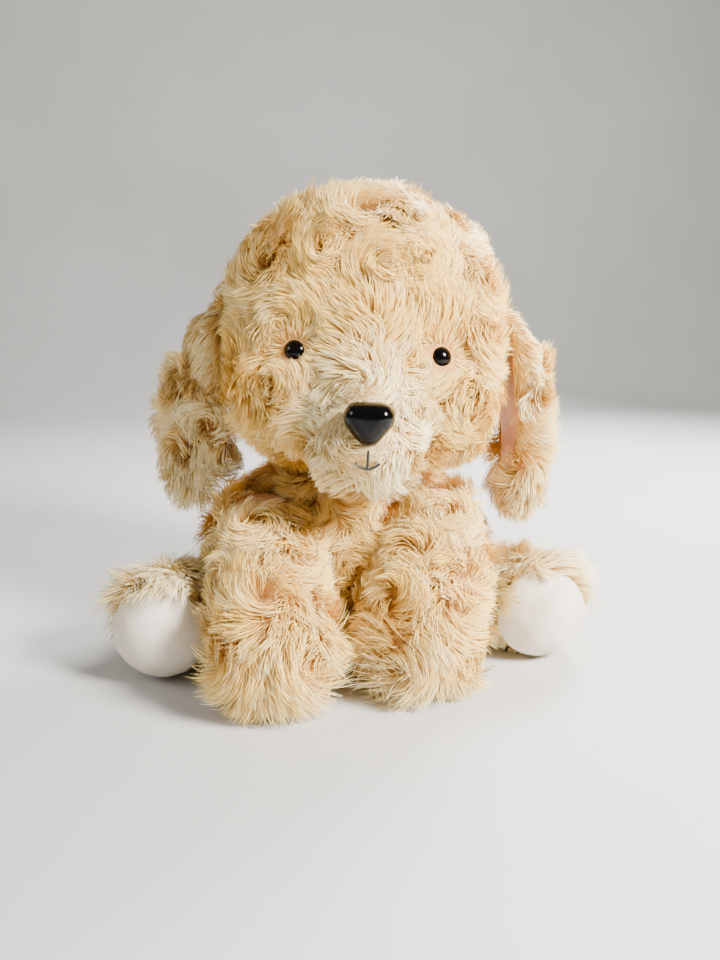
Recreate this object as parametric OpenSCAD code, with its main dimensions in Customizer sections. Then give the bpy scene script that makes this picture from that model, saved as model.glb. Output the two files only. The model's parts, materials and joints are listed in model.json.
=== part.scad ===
// Seated plush dog: fur fabric skins over fibre fillings, hanging ears,
// stuffed legs that rest on the floor, velour soles, plastic eyes and nose.
// The dog faces -Y, its own left is +X, and it sits on the plane Z = 0.
// The origin is the centre of the flat underside of its seat.

/* [Body] */
// Half width of the body
torso_w = 78; // [68:1:94]
// Half depth of the body
torso_d = 54; // [46:1:66]
// Height of the body's top above the floor
torso_top = 97; // [88:1:118]
// How far the widest level of the body is above the floor
torso_mid = 47; // [42:1:52]
// Half width of the chest
chest_w = 55; // [46:1:62]
// Half depth of the chest
chest_d = 41; // [34:1:50]
// Radius of the neck's filling
neck_r = 20; // [16:0.5:24]
// How far the neck's middle is above the body
neck_rise = 9; // [6:1:14]

/* [Head] */
// Half width of the skull
skull_w = 71; // [60:1:86]
// Half depth of the skull
skull_d = 60; // [50:1:73]
// Half height of the skull
skull_h = 63; // [53:1:76]
// Radius of a cheek
cheek_r = 34; // [28:1:41]
// Distance from the middle of one cheek to the other
cheek_spread = 60; // [50:1:72]
// Half width of the muzzle
muzzle_w = 27; // [22:1:33]
// How far the muzzle's middle is in front of the skull
muzzle_reach = 7; // [2:1:14]
// How far the head's middle is to the left of the body's middle
head_shift = 10.5; // [0:0.5:14]
// How far the head is turned to the right at rest
head_turn = 4.5; // [0:0.5:12]
// How far the head is tipped to the left at rest
head_tip = 2.7; // [0:0.1:5]

/* [Face] */
// Diameter of a safety eye
eye_d = 12; // [9:0.5:15]
// Distance between the middles of the eyes
eye_spread = 66; // [52:1:72]
// How far the eyes are below the middle of the skull
eye_drop = 17; // [10:1:22]
// Width of the safety nose
nose_w = 22; // [17:0.5:27]
// Height of the safety nose
nose_h = 19; // [15:0.5:23]
// Thickness of the mouth's thread
thread_d = 1.2; // [0.8:0.1:1.6]

/* [Ears] */
// Length of an ear from its hinge to its tip
ear_len = 112; // [90:1:120]
// Width of an ear
ear_w = 54; // [42:1:64]
// Thickness of an ear with its dense pile
ear_t = 14; // [11:0.5:17]
// How far the right ear's front edge is turned in
ear_twist_right = 42; // [0:1:45]
// How far the left ear's front edge is turned in
ear_twist_left = 0; // [0:1:35]

/* [Front legs] */
// Radius of a leg at the shoulder
shoulder_r = 24; // [20:0.5:27]
// Radius of a front paw
paw_r = 28; // [23:0.5:30]
// Right paw's middle, to the right of the body's middle
right_paw_x = 41; // [34:1:50]
// Right paw's middle, in front of the body's middle
right_paw_y = 87; // [78:1:98]
// Left paw's middle, to the left of the body's middle
left_paw_x = 27; // [26:1:50]
// Left paw's middle, in front of the body's middle
left_paw_y = 79; // [74:1:98]

/* [Hind legs] */
// Radius of a hind leg at the hip
hip_r = 18; // [15:0.5:21]
// Radius of a hind foot
foot_r = 26; // [21:0.5:27]
// How far the middle of each foot is beyond the side of the body
foot_out = 15; // [8:1:28]
// A hind foot's middle, in front of the body's middle
foot_y = 50; // [40:1:56]
// How far the right sole faces outwards
sole_turn_right = 10; // [0:1:30]
// How far the left sole faces outwards
sole_turn_left = 2; // [0:1:30]
// Diameter of a velour sole
sole_d = 48; // [38:0.5:49]

/* [Tail] */
// Radius of the tail at its root
tail_r = 11; // [8:0.5:13]
// Length of the tail from its root
tail_len = 34; // [24:1:46]

/* [Fabric] */
// Thickness of the fur fabric with its dense pile
skin_t = 7; // [5:0.5:8]
// Thickness of the ears' satin lining
lining_t = 2.4; // [1.6:0.1:3]
// Room between a skin and its filling
fill_gap = 0.4; // [0.2:0.1:0.8]
// Room around a piece that moves
joint_gap = 1.2; // [0.8:0.1:2]

/* [Hidden] */

RIGHT = -1;         // the dog's right is -X
LEFT = 1;
HUGE = 600;         // larger than the dog
FACETS = 16;        // sides of a rounded fabric form
PATH_FACETS = 24;   // sides of the room left for a piece that moves
START_TURN = 135;   // where a limb's turned form starts, clear of its seams and of the floor

// Colours
FUR = "#e2bb88";
FUR_PALE = "#f0dcbc";
VELOUR = "#f4eadb";
SATIN = "#cf9670";
FIBRE = "#f7f5ef";
GLOSS = "#0d0c0c";
CLEAR = "#d8d8d4";

// Range of each joint, in degrees
ear_lift = 75;
paw_lift = 20;
foot_spread = 20;
tail_swing = 30;

// ---- Rounded forms: an ellipsoid is [middle, half sizes] ----

module ellipsoid(e, grow, sides = FACETS) {
  translate(e[0]) scale(e[1] + [grow, grow, grow]) sphere(r = 1, $fn = sides);
}

// Each pair of ellipsoids is joined by its hull
module joined(list, pairs, grow) {
  for (p = pairs) hull() {
    ellipsoid(list[p[0]], grow);
    ellipsoid(list[p[1]], grow);
  }
}

function between(a, b, t) = a + (b - a) * t;
function round_ball(c, r) = [c, [r, r, r]];

// A stuffed limb: a tapered capsule from the middle of one end ball to the other
module capsule(a, a_r, b, b_r, grow) {
  d = b - a;
  translate(a) rotate([0, acos(d[2] / norm(d)), atan2(d[1], d[0])]) rotate([0, 0, START_TURN])
    rotate_extrude($fn = 64) intersection() {
      hull() {
        circle(r = a_r + grow, $fn = 48);
        translate([0, norm(d)]) circle(r = b_r + grow, $fn = 48);
      }
      translate([0, -HUGE / 2]) square([HUGE, HUGE]);
    }
}

module above_floor(level = 0) {
  intersection() {
    children();
    translate([-HUGE / 2, -HUGE / 2, level]) cube([HUGE, HUGE, HUGE]);
  }
}

// Everything on one side of a plane through `at`, whose normal is turned about Z
module half_space(at, turn) {
  translate(at) rotate([0, 0, turn]) translate([0, -HUGE / 2, -HUGE / 2]) cube([HUGE, HUGE, HUGE]);
}

// ---- Head: measured from the middle of the skull ----

head_at = [head_shift, -2, torso_top + 11 + skull_h];
neck_at = [head_shift / 2 + 1, 2, torso_top + neck_rise];
module in_head() translate(head_at) rotate([0, head_tip, -head_turn]) children();

cheek_z = -skull_h * 0.6;
skull = [[0, 0, 0], [skull_w, skull_d, skull_h]];
cheek_right = [[-cheek_spread / 2, 27 - skull_d, cheek_z], [cheek_r, cheek_r - 1, cheek_r - 2]];
cheek_left = [[cheek_spread / 2, 27 - skull_d, cheek_z], [cheek_r, cheek_r - 1, cheek_r - 2]];
jaw = [[0, 16 - skull_d, cheek_z - 12], [32, 32, 24]];
muzzle_ball = [[0, -skull_d - muzzle_reach, cheek_z - 18], [muzzle_w, 24, 23]];
bridge = [[0, -skull_d + 6, cheek_z + 2], [20, 22, 24]];
HEAD_FORMS = [skull, cheek_right, cheek_left, jaw, muzzle_ball, bridge];
HEAD_PAIRS = [[0, 1], [0, 2], [0, 3], [1, 3], [2, 3], [1, 2], [3, 4], [4, 5], [0, 5]];
gusset_half = 18;
muzzle_half = 35;
muzzle_top = cheek_z + 13;
muzzle_back = 10 - skull_d;

module head_form(grow) joined(HEAD_FORMS, HEAD_PAIRS, grow);

module muzzle_region() {
  translate([-muzzle_half, muzzle_back - HUGE, muzzle_top - HUGE]) cube([2 * muzzle_half, HUGE, HUGE]);
}

module gusset_region() translate([-gusset_half, -HUGE / 2, -HUGE / 2]) cube([2 * gusset_half, HUGE, HUGE]);

// Front of an ellipsoid at (x, z), as a Y
function front_of(e, x, z) = let (u = (x - e[0][0]) / e[1][0], v = (z - e[0][2]) / e[1][2])
  e[0][1] - e[1][1] * sqrt(max(0, 1 - u * u - v * v));

// ---- Eyes, nose and mouth ----

eye_post_r = 2.2;
eye_sink = 5;              // how far the eye's flat back is under the pile
washer_t = 1.6;
washer_r = 7;
EYE_AIM = 14;              // the eyes look this far outwards
eye_y = front_of(cheek_left, eye_spread / 2, -eye_drop);
post_len = skin_t - eye_sink + washer_t + 3;

// +Z looks out of the face here, and Z = 0 is the eye's flat back
module at_eye(side) {
  translate([side * eye_spread / 2, eye_y + eye_sink, -eye_drop])
    rotate([90, 0, side * EYE_AIM]) children();
}

module eye_cap(grow = 0) {
  intersection() {
    sphere(r = eye_d / 2 + grow, $fn = 48);
    translate([0, 0, -grow]) cylinder(h = eye_d, r = eye_d, $fn = 48);
  }
}

module eye_shape(grow = 0) {
  eye_cap(grow);
  translate([0, 0, -post_len - grow]) cylinder(h = post_len + 2 * grow, r = eye_post_r + grow, $fn = 32);
}

module washer_shape() {
  translate([0, 0, -washer_t]) difference() {
    cylinder(h = washer_t, r = washer_r, $fn = 48);
    translate([0, 0, -1]) cylinder(h = washer_t + 2, r = eye_post_r + 0.1, $fn = 32);
  }
}
washer_depth = skin_t - eye_sink + fill_gap;

nose_z = cheek_z - 18 + 11;
nose_y = front_of(muzzle_ball, 0, nose_z);
nose_sink = 3;
nose_t = 9;
NOSE_AIM = 12;             // the nose looks this far upwards
module at_nose() translate([0, nose_y + nose_sink, nose_z]) rotate([90 - NOSE_AIM, 0, 0]) children();

nose_washer_depth = skin_t - nose_sink + 4.5;
NOSE_SIDES = 28;

// A dome with a flat back: half sizes along x, y and z
module flat_dome(at, half, grow) {
  translate(at) intersection() {
    scale(half + [grow, grow, grow]) sphere(r = 1, $fn = NOSE_SIDES);
    translate([-nose_w, -nose_w, -grow]) cube([2 * nose_w, 2 * nose_w, 2 * nose_w]);
  }
}

module nose_pad(grow = 0) {
  hull() {
    for (side = [RIGHT, LEFT])
      flat_dome([side * nose_w * 0.22, nose_h * 0.16, 0], [nose_w * 0.28, nose_h * 0.34, nose_t], grow);
    flat_dome([0, -nose_h * 0.24, 0], [nose_w * 0.24, nose_h * 0.26, nose_t * 0.8], grow);
  }
}

module nose_post(grow = 0) {
  post = nose_washer_depth + washer_t + 2;
  translate([0, 0, -post - grow]) cylinder(h = post + grow + 1, r = eye_post_r + grow, $fn = 32);
}

// The mouth: one upright stitch under the nose, and a small smile
function on_muzzle(x, z) = [x, front_of(muzzle_ball, x, z) - thread_d * 0.1, z];
MOUTH_TOP = nose_z - nose_h * 0.56;
MOUTH_LOW = MOUTH_TOP - 8;
SMILE_HALF = 5;
MOUTH_STEPS = 8;
module stitch_line(points, grow) {
  for (i = [0:len(points) - 2]) hull() {
    translate(points[i]) sphere(r = thread_d / 2 + grow, $fn = 10);
    translate(points[i + 1]) sphere(r = thread_d / 2 + grow, $fn = 10);
  }
}
module mouth_shape(grow = 0) {
  stitch_line([for (t = [0:0.25:1]) on_muzzle(0, between(MOUTH_TOP, MOUTH_LOW, t))], grow);
  stitch_line([for (i = [0:MOUTH_STEPS]) let (x = SMILE_HALF * (2 * i / MOUTH_STEPS - 1))
    on_muzzle(x, MOUTH_LOW + 2.5 * pow(x / SMILE_HALF, 2))], grow);
}

// ---- Ears: measured from the hinge, before the head is turned ----

EAR_CLEAR = 5;             // the hinge line's distance from the skull
ear_hinge = [skull_w + EAR_CLEAR, -2, skull_h * 0.27];
function ear_twist(side) = side == RIGHT ? ear_twist_right : -ear_twist_left;

// Each station is [down, out, half thickness, half width, half height, share of the twist]
EAR_STATIONS = [
  [0, 0, 0.38, 0.30, 6, 0],
  [0.20, 4, 0.44, 0.38, 12, 0.25],
  [0.42, 8, 0.50, 0.46, 14, 0.6],
  [0.66, 11, 0.50, 0.50, 16, 1],
  [0.84, 11, 0.46, 0.40, ear_len * 0.16, 1]
];
EAR_STEPS = 2;

module ear_station(side, s, grow) {
  translate([side * s[1], 0, -s[0] * ear_len]) rotate([0, 0, ear_twist(side) * s[5]])
    scale([s[2] * ear_t + grow, s[3] * ear_w + grow, s[4] + grow]) sphere(r = 1, $fn = FACETS);
}

function ear_at(i) = let (n = floor(i / EAR_STEPS), t = i / EAR_STEPS - n)
  t == 0 ? EAR_STATIONS[n] : between(EAR_STATIONS[n], EAR_STATIONS[n + 1], t);

module ear_form(side, grow, last = (len(EAR_STATIONS) - 1) * EAR_STEPS) {
  for (i = [0:last - 1]) hull() {
    ear_station(side, ear_at(i), grow);
    ear_station(side, ear_at(i + 1), grow);
  }
}

// The inner side of the ear, which follows its bend and twist
module ear_inside(side, room) {
  for (i = [0:(len(EAR_STATIONS) - 1) * EAR_STEPS - 1]) hull() for (s = [ear_at(i), ear_at(i + 1)])
    translate([side * s[1], 0, -s[0] * ear_len]) rotate([0, 0, ear_twist(side) * s[5]])
      translate([-side * (s[2] * ear_t + 20 - lining_t - room), 0, s[0] == 0 ? 20 : 0])
        cube([40, 2 * ear_w, s[0] > 0.8 ? 80 : 1], center = true);
}

module at_ear(side) in_head() translate([side * ear_hinge[0], ear_hinge[1], ear_hinge[2]]) children();

// All places that an ear's upper half passes through
module ear_path(side) {
  for (share = [0:0.25:1])
    translate([side * ear_hinge[0], ear_hinge[1], ear_hinge[2]])
      rotate([0, -side * ear_lift * share, 0]) ear_form(side, joint_gap, 4);
}

// ---- Body ----

torso = [[0, 0, torso_mid], [torso_w, torso_d, torso_top - torso_mid]];
chest = [[2, -4, torso_top - 27], [chest_w, chest_d, 27]];
haunch_right = [[-torso_w + 28, 4, 26], [26, 36, 30]];
haunch_left = [[torso_w - 28, 4, 26], [26, 36, 30]];
BODY_FORMS = [torso, chest, haunch_right, haunch_left];
BODY_PAIRS = [[0, 1], [0, 2], [0, 3]];

module body_form(grow) above_floor(-grow) joined(BODY_FORMS, BODY_PAIRS, grow);

// ---- Front legs ----

SHOULDER_SHARE = 7 / 12;   // how far out the shoulders are, as a share of the body's half width
shoulder_y = 21 - torso_d;
shoulder_z = torso_top - 33;
function shoulder(side) = [side * torso_w * SHOULDER_SHARE, shoulder_y, shoulder_z];
function paw(side) = side == RIGHT ?
  [-right_paw_x, -right_paw_y, paw_r - 2] : [left_paw_x, -left_paw_y, paw_r - 2];

module front_leg_form(side, grow) {
  above_floor(-grow) capsule(shoulder(side), shoulder_r, paw(side), paw_r, grow);
}

// Room for the leg from the floor to its highest place
module front_leg_path(side) {
  s = shoulder(side);
  hull() {
    ellipsoid(round_ball(s, shoulder_r), joint_gap, PATH_FACETS);
    for (lift = [0, paw_lift / 2, paw_lift])
      translate(s) rotate([-lift, 0, 0]) ellipsoid(round_ball(paw(side) - s, paw_r), joint_gap, PATH_FACETS);
  }
}
function leg_turn(side) = let (d = paw(side) - shoulder(side)) atan2(-d[0], -d[1]);

// ---- Hind legs ----

HIP_IN = 20;
function hip(side) = [side * (torso_w - HIP_IN), 48 - torso_d, hip_r + 1];
function foot(side) = [side * (torso_w + foot_out), -foot_y, foot_r - 1];
sole_plane = sqrt(pow(foot_r, 2) - pow(sole_d / 2, 2));

module hind_leg_form(side, grow) {
  above_floor(-grow) capsule(hip(side), hip_r, foot(side), foot_r, grow);
}

module hind_leg_path(side) {
  h = hip(side);
  hull() {
    ellipsoid(round_ball(h, hip_r), joint_gap, PATH_FACETS);
    for (spread = [0, foot_spread / 2, foot_spread]) translate(h) rotate([0, 0, side * spread])
      ellipsoid(round_ball(foot(side) - h, foot_r), joint_gap, PATH_FACETS);
  }
}

function sole_turn(side) = side == RIGHT ? -sole_turn_right : sole_turn_left;

// The part of the foot in front of the sole's seam
module sole_region(side) {
  translate(foot(side)) rotate([0, 0, sole_turn(side)])
    translate([-HUGE / 2, -HUGE - sole_plane, -HUGE / 2]) cube([HUGE, HUGE, HUGE]);
}

// ---- Tail ----

tail_root = [0, torso_d - 4, 24];
tail_tip = tail_root + [0, 0.82, 0.57] * tail_len;
module tail_form(grow) capsule(tail_root, tail_r, tail_tip, tail_r - 2, grow);
module tail_path() {
  hull() {
    ellipsoid(round_ball(tail_root, tail_r), joint_gap, PATH_FACETS);
    for (swing = [-tail_swing, 0, tail_swing])
      translate(tail_root) rotate([0, 0, swing])
        ellipsoid(round_ball(tail_tip - tail_root, tail_r - 2), joint_gap, PATH_FACETS);
  }
}

// ---- Head pieces ----

module neck_socket() translate(neck_at) sphere(r = neck_r + joint_gap, $fn = 48);

module head_shell() {
  difference() {
    head_form(0);
    head_form(-skin_t);
    ear_path(RIGHT);
    ear_path(LEFT);
    for (side = [RIGHT, LEFT]) at_eye(side) eye_shape(0.2);
    at_nose() nose_pad(0.2);
    at_nose() nose_post(0.2);
    mouth_shape(0.15);
  }
}

// The shell in the dog's own place, cut for the neck
module head_panel() {
  color(FUR) difference() {
    in_head() children();
    neck_socket();
  }
}

module head_side_right() head_panel() difference() {
  head_shell();
  gusset_region();
  muzzle_region();
  translate([0, -HUGE / 2, -HUGE / 2]) cube([HUGE, HUGE, HUGE]);
}

module head_side_left() head_panel() difference() {
  head_shell();
  gusset_region();
  muzzle_region();
  translate([-HUGE, -HUGE / 2, -HUGE / 2]) cube([HUGE, HUGE, HUGE]);
}

module head_gusset() head_panel() difference() {
  intersection() {
    head_shell();
    gusset_region();
  }
  muzzle_region();
}

module muzzle() color(FUR_PALE) head_panel() intersection() {
  head_shell();
  muzzle_region();
}

module head_filling() {
  color(FIBRE) difference() {
    in_head() difference() {
      head_form(-skin_t - fill_gap);
      ear_path(RIGHT);
      ear_path(LEFT);
      for (side = [RIGHT, LEFT]) at_eye(side)
        translate([0, 0, -post_len - 1]) cylinder(h = HUGE, r = washer_r + 0.3, $fn = 32);
      at_nose() translate([0, 0, -nose_washer_depth - washer_t - 3])
        cylinder(h = HUGE, r = washer_r + 0.3, $fn = 32);
    }
    neck_socket();
  }
}

module eye_right() color(GLOSS) in_head() at_eye(RIGHT) eye_shape();
module eye_left() color(GLOSS) in_head() at_eye(LEFT) eye_shape();
module eye_washer(side) {
  color(CLEAR) in_head() at_eye(side) translate([0, 0, -washer_depth]) washer_shape();
}
module eye_washer_right() eye_washer(RIGHT);
module eye_washer_left() eye_washer(LEFT);

module nose() color(GLOSS) in_head() at_nose() {
  nose_pad();
  nose_post();
}
module nose_washer() {
  color(CLEAR) in_head() at_nose() translate([0, 0, -nose_washer_depth]) washer_shape();
}
module mouth_stitch() color(GLOSS) in_head() mouth_shape();

// ---- Ear pieces ----

module ear_fur(side) color(FUR) at_ear(side) difference() {
  ear_form(side, 0);
  ear_inside(side, 0.1);
}
module ear_lining(side) color(SATIN) at_ear(side) intersection() {
  ear_form(side, 0);
  ear_inside(side, 0);
}
module ear_right_fur() ear_fur(RIGHT);
module ear_right_lining() ear_lining(RIGHT);
module ear_left_fur() ear_fur(LEFT);
module ear_left_lining() ear_lining(LEFT);

// ---- Body pieces ----

module neck_filling() color(FIBRE) translate(neck_at) sphere(r = neck_r, $fn = 48);

module limb_paths() {
  for (side = [RIGHT, LEFT]) {
    front_leg_path(side);
    hind_leg_path(side);
  }
  tail_path();
  neck_socket();
}

label_w = 16;
label_len = 30;
label_t = 1.6;
LABEL_TURN = 38;           // the label's place round the body, from the back
module at_label() rotate([0, 0, -LABEL_TURN]) translate([0, torso_d * 0.93 - skin_t * 0.4, 34]) children();
module label_shape(grow = 0) {
  translate([-label_t / 2 - grow, 0, -label_w / 2 - grow])
    cube([label_t + 2 * grow, label_len, label_w + 2 * grow]);
}

module body_shell() {
  difference() {
    body_form(0);
    body_form(-skin_t);
    limb_paths();
    at_label() label_shape(0.2);
  }
}

SEAT_SEAM = 12;            // height of the seam round the seat
module seat_panel() color(FUR) difference() {
  body_shell();
  above_floor(SEAT_SEAM) cube(HUGE, center = true);
}
module chest_panel() color(FUR) above_floor(SEAT_SEAM) difference() {
  body_shell();
  half_space([0, shoulder_y, 0], 90);
}
module back_half(side) color(FUR) above_floor(SEAT_SEAM) intersection() {
  body_shell();
  half_space([0, shoulder_y, 0], 90);
  half_space([0, 0, 0], side == LEFT ? 0 : 180);
}
module back_panel_right() back_half(RIGHT);
module back_panel_left() back_half(LEFT);

// The pouch lies on the seat's cloth, with fibre around and above it
pouch_r = 25;
pouch_h = 22;
POUCH_T = 1.2;
pouch_z = skin_t + fill_gap;
module pouch_form(grow) {
  translate([0, 0, pouch_z + pouch_h / 2]) rotate_extrude($fn = 64) intersection() {
    hull() {
      translate([pouch_r - pouch_h / 2, 0]) circle(r = pouch_h / 2 + grow, $fn = 32);
      translate([0, -pouch_h / 2 - grow]) square([1, pouch_h + 2 * grow]);
    }
    translate([0, -HUGE / 2]) square([HUGE, HUGE]);
  }
}

module body_filling() color(FIBRE) difference() {
  body_form(-skin_t - fill_gap);
  limb_paths();
  at_label() label_shape(0.2);
  pouch_form(fill_gap);
  cylinder(h = pouch_z + pouch_h / 2, r = pouch_r - 5, $fn = 32);
}

module bean_pouch() color(VELOUR) difference() {
  pouch_form(0);
  pouch_form(-POUCH_T);
}

// Pellets in rings on two levels
bean_r = 3.9;
BEAN_PITCH = 8.2;
module beans() {
  color(CLEAR) for (level = [0, 1], ring = [0:2]) {
    count = ring == 0 ? 1 : 6 * ring;
    for (k = [0:count - 1])
      translate([0, 0, pouch_z + pouch_h / 2 + (level - 0.5) * BEAN_PITCH])
        rotate([0, 0, 360 / count * k + 20 * level]) translate([ring * BEAN_PITCH, 0, 0])
          sphere(r = bean_r, $fn = 24);
  }
}

// Ladder stitches across the seam between the two back panels
STITCHES = 7;
STITCH_PITCH = 5;
STITCH_LEN = 5;
function back_of(e, z) = e[0][1] + e[1][1] * sqrt(1 - pow((z - e[0][2]) / e[1][2], 2));
module closing_seam() {
  color(FUR) for (k = [0:STITCHES - 1]) {
    z = torso_mid + 2 + k * STITCH_PITCH;
    translate([-STITCH_LEN / 2, back_of(torso, z) + thread_d / 2 + 0.1, z])
      rotate([0, 90, 0]) cylinder(h = STITCH_LEN, d = thread_d, $fn = 24);
  }
}

// A blank folded tape
module care_label() color("white") at_label() difference() {
  label_shape();
  translate([-0.3, -1, -label_w]) cube([0.6, label_len, 2 * label_w]);
}

// ---- Leg and tail pieces ----

module front_leg_shell(side) difference() {
  front_leg_form(side, 0);
  front_leg_form(side, -skin_t);
}
// The outer panel is on the side away from the other leg
module front_leg_panel(side, outer) color(FUR) intersection() {
  front_leg_shell(side);
  half_space(shoulder(side), (side == LEFT) == outer ? -leg_turn(side) : 180 - leg_turn(side));
}
module front_leg_filling(side) color(FIBRE) front_leg_form(side, -skin_t - fill_gap);
module front_leg_right_outer() front_leg_panel(RIGHT, true);
module front_leg_right_inner() front_leg_panel(RIGHT, false);
module front_leg_right_filling() front_leg_filling(RIGHT);
module front_leg_left_outer() front_leg_panel(LEFT, true);
module front_leg_left_inner() front_leg_panel(LEFT, false);
module front_leg_left_filling() front_leg_filling(LEFT);

module hind_leg_shell(side) difference() {
  hind_leg_form(side, 0);
  hind_leg_form(side, -skin_t);
}
module hind_leg_top(side) color(FUR) difference() {
  hind_leg_shell(side);
  sole_region(side);
  translate([-HUGE / 2, -HUGE / 2, hip_r + 1 - HUGE]) cube([HUGE, HUGE, HUGE]);
}
module hind_leg_bottom(side) color(FUR) difference() {
  hind_leg_shell(side);
  sole_region(side);
  translate([-HUGE / 2, -HUGE / 2, hip_r + 1]) cube([HUGE, HUGE, HUGE]);
}
module sole(side) color(VELOUR) intersection() {
  hind_leg_shell(side);
  sole_region(side);
}
module hind_leg_filling(side) color(FIBRE) hind_leg_form(side, -skin_t - fill_gap);
module hind_leg_right_top() hind_leg_top(RIGHT);
module hind_leg_right_bottom() hind_leg_bottom(RIGHT);
module hind_leg_right_filling() hind_leg_filling(RIGHT);
module sole_right() sole(RIGHT);
module hind_leg_left_top() hind_leg_top(LEFT);
module hind_leg_left_bottom() hind_leg_bottom(LEFT);
module hind_leg_left_filling() hind_leg_filling(LEFT);
module sole_left() sole(LEFT);

// The tail's pile is shorter
tail_skin_t = skin_t - 2;
module tail_panel(side) color(FUR) intersection() {
  difference() {
    tail_form(0);
    tail_form(-tail_skin_t);
  }
  half_space(tail_root, side == LEFT ? 0 : 180);
}
module tail_panel_right() tail_panel(RIGHT);
module tail_panel_left() tail_panel(LEFT);
module tail_filling() color(FIBRE) tail_form(-tail_skin_t - fill_gap);

head_side_right();
head_side_left();
head_gusset();
muzzle();
head_filling();
eye_right();
eye_left();
eye_washer_right();
eye_washer_left();
nose();
nose_washer();
mouth_stitch();
ear_right_fur();
ear_right_lining();
ear_left_fur();
ear_left_lining();
neck_filling();
chest_panel();
seat_panel();
back_panel_right();
back_panel_left();
body_filling();
bean_pouch();
beans();
closing_seam();
care_label();
front_leg_right_outer();
front_leg_right_inner();
front_leg_right_filling();
front_leg_left_outer();
front_leg_left_inner();
front_leg_left_filling();
hind_leg_right_top();
hind_leg_right_bottom();
hind_leg_right_filling();
sole_right();
hind_leg_left_top();
hind_leg_left_bottom();
hind_leg_left_filling();
sole_left();
tail_panel_right();
tail_panel_left();
tail_filling();
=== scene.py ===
import json
import math

import bpy
import numpy as np
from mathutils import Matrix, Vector
from mathutils.bvhtree import BVHTree
from mathutils.kdtree import KDTree

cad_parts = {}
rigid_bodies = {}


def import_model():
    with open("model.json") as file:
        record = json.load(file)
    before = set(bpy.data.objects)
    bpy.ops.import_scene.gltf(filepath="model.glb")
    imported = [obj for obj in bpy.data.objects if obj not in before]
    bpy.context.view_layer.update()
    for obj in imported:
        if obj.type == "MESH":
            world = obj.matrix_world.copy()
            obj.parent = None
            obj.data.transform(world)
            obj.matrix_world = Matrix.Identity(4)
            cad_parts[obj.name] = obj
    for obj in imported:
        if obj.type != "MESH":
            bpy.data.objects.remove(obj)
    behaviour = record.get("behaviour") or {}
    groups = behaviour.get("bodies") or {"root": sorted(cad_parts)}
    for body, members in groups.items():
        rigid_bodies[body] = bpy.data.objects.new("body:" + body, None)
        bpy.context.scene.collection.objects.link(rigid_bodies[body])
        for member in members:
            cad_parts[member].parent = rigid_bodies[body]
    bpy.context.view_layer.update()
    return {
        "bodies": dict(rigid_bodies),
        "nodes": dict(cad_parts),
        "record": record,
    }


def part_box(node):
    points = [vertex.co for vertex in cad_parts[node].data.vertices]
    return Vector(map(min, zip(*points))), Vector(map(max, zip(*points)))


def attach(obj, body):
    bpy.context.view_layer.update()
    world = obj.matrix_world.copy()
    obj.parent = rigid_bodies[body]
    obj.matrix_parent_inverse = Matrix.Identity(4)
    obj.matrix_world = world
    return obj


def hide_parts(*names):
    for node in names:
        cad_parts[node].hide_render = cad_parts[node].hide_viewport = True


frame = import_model()

# Lengths are in metres. The dog faces -Y, and its own left is +X.
MM = 0.001
UP = np.array([0.0, 0.0, 1.0])
RNG = np.random.default_rng(41)
SCENE = bpy.context.scene
NODES = frame["nodes"]
BODY_OF = {n: b for b, ns in frame["record"]["behaviour"]["bodies"].items() for n in ns}
DENSITY = 1.0


def middle(node):
    """The middle of a CAD node's box."""
    lo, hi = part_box(node)
    return np.array((lo + hi) / 2)


# ---- Places read from the frame ----

EYES = [middle("eye_right"), middle("eye_left")]
NOSE = middle("nose")
MOUTH = middle("mouth_stitch")
SKULL = (middle("head_side_right") + middle("head_side_left")) / 2
FOREHEAD = (EYES[0] + EYES[1]) / 2


# ---- Small vector tools: rows of an (n, 3) array ----

TINY = 1e-9


def unit(v):
    return v / np.maximum(np.linalg.norm(v, axis=-1, keepdims=True), 1e-12)


def dot(a, b):
    return (a * b).sum(-1, keepdims=True)


def along_surface(v, n):
    return v - dot(v, n) * n


def tangent(v, normal):
    """The direction of v along the surface."""
    return unit(along_surface(v, normal) + TINY)


def smoothstep(x, lo, hi):
    t = np.clip((x - lo) / (hi - lo), 0, 1)
    return t * t * (3 - 2 * t)


def near(gap, band):
    """1 where gap is under the band, falling smoothly to 0 past it."""
    return 1 - smoothstep(gap, *band)


def distance(p, q):
    return np.linalg.norm(p - q, axis=-1)


# ---- Materials ----

def srgb(r, g, b):
    """Linear colour from 8-bit sRGB values."""
    linear = [c / 255 / 12.92 if c <= 10 else ((c / 255 + 0.055) / 1.055) ** 2.4 for c in (r, g, b)]
    return (*linear, 1.0)


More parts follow.
